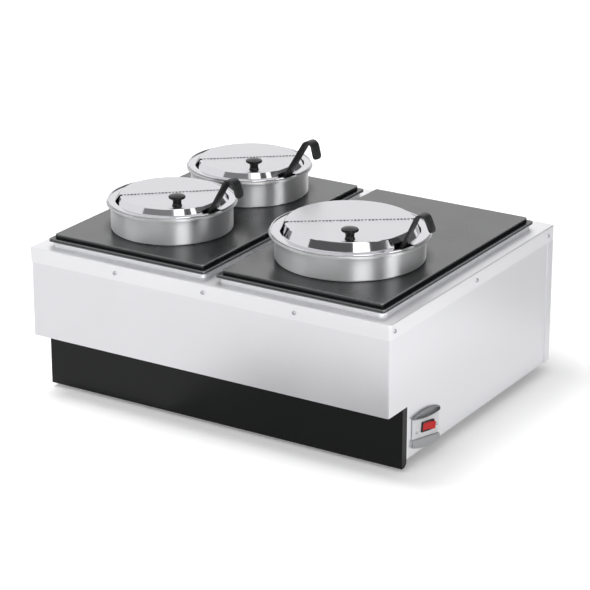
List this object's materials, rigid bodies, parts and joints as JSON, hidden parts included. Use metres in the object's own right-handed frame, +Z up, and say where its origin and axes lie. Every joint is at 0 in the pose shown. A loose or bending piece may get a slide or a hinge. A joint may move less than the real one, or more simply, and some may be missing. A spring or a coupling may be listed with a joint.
{
  "type": "countertop food warmer",
  "caption": "Rectangular stainless countertop warmer with wells, dark adapter plates and round insets that have hinged covers with knobs and standing ladles",
  "frame": {"origin": "on the counter under the middle of the deck", "axes": "+X to the right along the front, +Y to the back, +Z up"},
  "size_m": [0.7287, 0.59, 0.4231],
  "materials": {
    "body_steel": "satin stainless sheet",
    "black_panel": "black satin coat",
    "inner_steel": "plain coated sheet",
    "foot_rubber": "matt rubber",
    "screw_steel": "bright screw",
    "black_plastic": "moulded black",
    "terminal_ceramic": "unglazed",
    "wire_sleeve": "woven sleeve",
    "control_grey": "satin grey",
    "control_pale": "satin pale grey",
    "rocker_red": "translucent red",
    "well_steel": "deep-drawn stainless",
    "element_steel": "dark sheath",
    "insulation_board": "mineral fibre",
    "thermostat_metal": "plain",
    "plate_black": "satin black moulding",
    "inset_steel": "brushed round the axis",
    "cover_steel": "polished",
    "knob_black": "glossy black",
    "ladle_steel": "polished",
    "grip_black": "fine texture"
  },
  "bodies": {
    "housing": {"top_deck": "body_steel", "body_wrap": "body_steel", "rear_panel": "body_steel", "toe_panel": "black_panel", "base_pan": "inner_steel", "feet": "foot_rubber", "foot_screws": "screw_steel", "deck_screws": "screw_steel", "rear_screws": "screw_steel", "cord_gland": "black_plastic", "terminal_block": "terminal_ceramic", "wiring": "wire_sleeve", "control_bezel": "control_grey", "control_face": "control_pale", "control_screws": "screw_steel", "switch_housing": "black_plastic", "left_well": "well_steel", "left_heating_element": "element_steel", "left_element_clamps": "inner_steel", "left_heat_shield": "inner_steel", "left_insulation": "insulation_board", "left_thermostat": "thermostat_metal", "right_well": "well_steel", "right_heating_element": "element_steel", "right_element_clamps": "inner_steel", "right_heat_shield": "inner_steel", "right_insulation": "insulation_board", "right_thermostat": "thermostat_metal"},
    "left_plate": {"left_adapter_plate": "plate_black"},
    "right_plate": {"right_adapter_plate": "plate_black"},
    "front_left_pot": {"front_left_inset": "inset_steel"},
    "front_left_cover": {"front_left_cover_rear": "cover_steel", "front_left_hinge_pin": "cover_steel"},
    "front_left_flap": {"front_left_cover_flap": "cover_steel", "front_left_knob": "knob_black", "front_left_knob_screw": "screw_steel"},
    "front_left_ladle_body": {"front_left_ladle": "ladle_steel", "front_left_ladle_grip": "grip_black"},
    "rear_left_pot": {"rear_left_inset": "inset_steel"},
    "rear_left_cover": {"rear_left_cover_rear": "cover_steel", "rear_left_hinge_pin": "cover_steel"},
    "rear_left_flap": {"rear_left_cover_flap": "cover_steel", "rear_left_knob": "knob_black", "rear_left_knob_screw": "screw_steel"},
    "rear_left_ladle_body": {"rear_left_ladle": "ladle_steel", "rear_left_ladle_grip": "grip_black"},
    "right_pot": {"right_inset": "inset_steel"},
    "right_cover": {"right_cover_rear": "cover_steel", "right_hinge_pin": "cover_steel"},
    "right_flap": {"right_cover_flap": "cover_steel", "right_knob": "knob_black", "right_knob_screw": "screw_steel"},
    "right_ladle_body": {"right_ladle": "ladle_steel", "right_ladle_grip": "grip_black"},
    "rocker": {"rocker": "rocker_red"}
  },
  "joints": [
    {"name": "left_plate_lift", "type": "slide", "parent": "housing", "child": "left_plate", "axis": [0, 0, 1], "range_m": [0, 0.2]},
    {"name": "right_plate_lift", "type": "slide", "parent": "housing", "child": "right_plate", "axis": [0, 0, 1], "range_m": [0, 0.2]},
    {"name": "front_left_inset_lift", "type": "slide", "parent": "left_plate", "child": "front_left_pot", "axis": [0, 0, 1], "range_m": [0, 0.2]},
    {"name": "front_left_cover_lift", "type": "slide", "parent": "front_left_pot", "child": "front_left_cover", "axis": [0, 0, 1], "range_m": [0, 0.1]},
    {"name": "front_left_flap_hinge", "type": "hinge", "parent": "front_left_cover", "child": "front_left_flap", "pos_m": [-0.179, -0.119, 0.3575], "axis": [-0.7478, -0.6639, 0], "range_deg": [0, 150]},
    {"name": "front_left_ladle_lift", "type": "slide", "parent": "front_left_pot", "child": "front_left_ladle_body", "axis": [0.4907, -0.0137, 0.8712], "range_m": [0, 0.1]},
    {"name": "rear_left_inset_lift", "type": "slide", "parent": "left_plate", "child": "rear_left_pot", "axis": [0, 0, 1], "range_m": [0, 0.2]},
    {"name": "rear_left_cover_lift", "type": "slide", "parent": "rear_left_pot", "child": "rear_left_cover", "axis": [0, 0, 1], "range_m": [0, 0.1]},
    {"name": "rear_left_flap_hinge", "type": "hinge", "parent": "rear_left_cover", "child": "rear_left_flap", "pos_m": [-0.175, 0.124, 0.3575], "axis": [-0.776, -0.6307, 0], "range_deg": [0, 150]},
    {"name": "rear_left_ladle_lift", "type": "slide", "parent": "rear_left_pot", "child": "rear_left_ladle_body", "axis": [0.5325, -0.0597, 0.8443], "range_m": [0, 0.1]},
    {"name": "right_inset_lift", "type": "slide", "parent": "right_plate", "child": "right_pot", "axis": [0, 0, 1], "range_m": [0, 0.2]},
    {"name": "right_cover_lift", "type": "slide", "parent": "right_pot", "child": "right_cover", "axis": [0, 0, 1], "range_m": [0, 0.1]},
    {"name": "right_flap_hinge", "type": "hinge", "parent": "right_cover", "child": "right_flap", "pos_m": [0.165, -0.091, 0.36], "axis": [-0.8111, -0.585, 0], "range_deg": [0, 150]},
    {"name": "right_ladle_lift", "type": "slide", "parent": "right_pot", "child": "right_ladle_body", "axis": [0.4185, 0.0285, 0.9078], "range_m": [0, 0.1]},
    {"name": "rocker_pivot", "type": "hinge", "parent": "housing", "child": "rocker", "pos_m": [0.3594, -0.166, 0.059], "axis": [0, 0, 1], "range_deg": [0, 18]}
  ]
}
